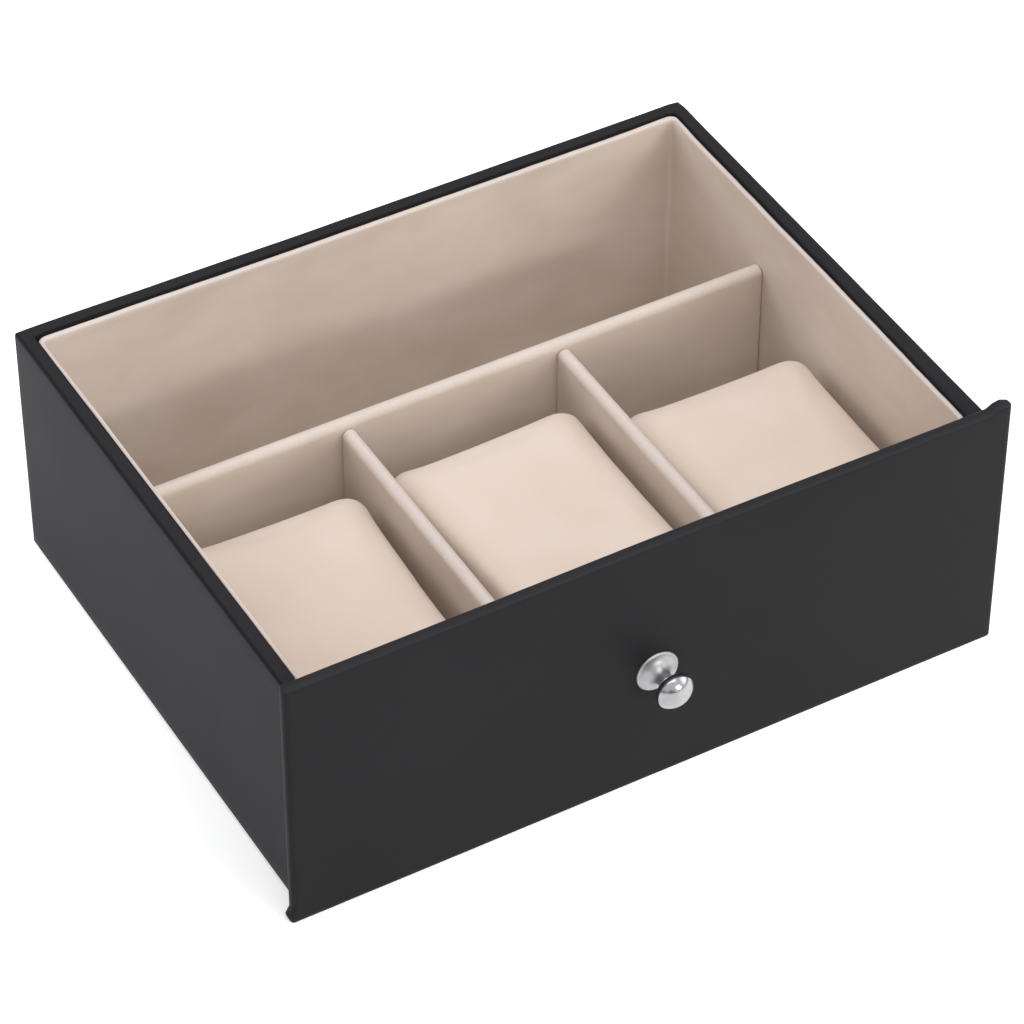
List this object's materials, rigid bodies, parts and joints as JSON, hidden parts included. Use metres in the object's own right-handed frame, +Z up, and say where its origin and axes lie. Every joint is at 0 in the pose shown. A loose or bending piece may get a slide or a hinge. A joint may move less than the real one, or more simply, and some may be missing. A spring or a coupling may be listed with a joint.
{
  "type": "jewellery box drawer",
  "caption": "Leatherette-covered box drawer with a turned knob, velvet lining, dividers and loose cushions in its front bays.",
  "frame": {"origin": "centre of the tray's underside, on the lower face of its base sheet", "axes": "+X to the right as seen from the knob's side, +Y to the back, away from the knob, +Z up"},
  "size_m": [0.2815, 0.2279, 0.1114],
  "materials": {
    "leatherette": "black, finely grained, satin",
    "panel_leatherette": "black, finely grained, satin",
    "fibreboard": "raw medium-density fibreboard",
    "lining_card": "grey board, matt",
    "velvet": "short beige pile",
    "cushion_cloth": "short cream pile",
    "knob_chrome": "polished plate",
    "zinc_steel": "zinc plate"
  },
  "bodies": {
    "tray": {"left_side_board": "fibreboard", "right_side_board": "fibreboard", "back_board": "fibreboard", "inner_front_board": "fibreboard", "bottom_board": "fibreboard", "tray_wrap": "leatherette", "base_sheet": "leatherette", "front_panel_board": "fibreboard", "front_panel_wrap": "panel_leatherette", "knob": "knob_chrome", "knob_screw": "zinc_steel", "knob_washer": "zinc_steel", "left_lining_card": "lining_card", "left_lining_velvet": "velvet", "right_lining_card": "lining_card", "right_lining_velvet": "velvet", "back_lining_card": "lining_card", "back_lining_velvet": "velvet", "front_lining_card": "lining_card", "front_lining_velvet": "velvet", "floor_lining_card": "lining_card", "floor_lining_velvet": "velvet", "cross_divider_board": "fibreboard", "cross_divider_velvet": "velvet", "left_divider_board": "fibreboard", "left_divider_velvet": "velvet", "right_divider_board": "fibreboard", "right_divider_velvet": "velvet"},
    "cushion_left": {"cushion_left": "cushion_cloth"},
    "cushion_middle": {"cushion_middle": "cushion_cloth"},
    "cushion_right": {"cushion_right": "cushion_cloth"}
  },
  "joints": [
    {"name": "cushion_left_lift", "type": "slide", "parent": "tray", "child": "cushion_left", "axis": [0, 0, 1], "range_m": [0, 0.12]},
    {"name": "cushion_middle_lift", "type": "slide", "parent": "tray", "child": "cushion_middle", "axis": [0, 0, 1], "range_m": [0, 0.12]},
    {"name": "cushion_right_lift", "type": "slide", "parent": "tray", "child": "cushion_right", "axis": [0, 0, 1], "range_m": [0, 0.12]}
  ]
}
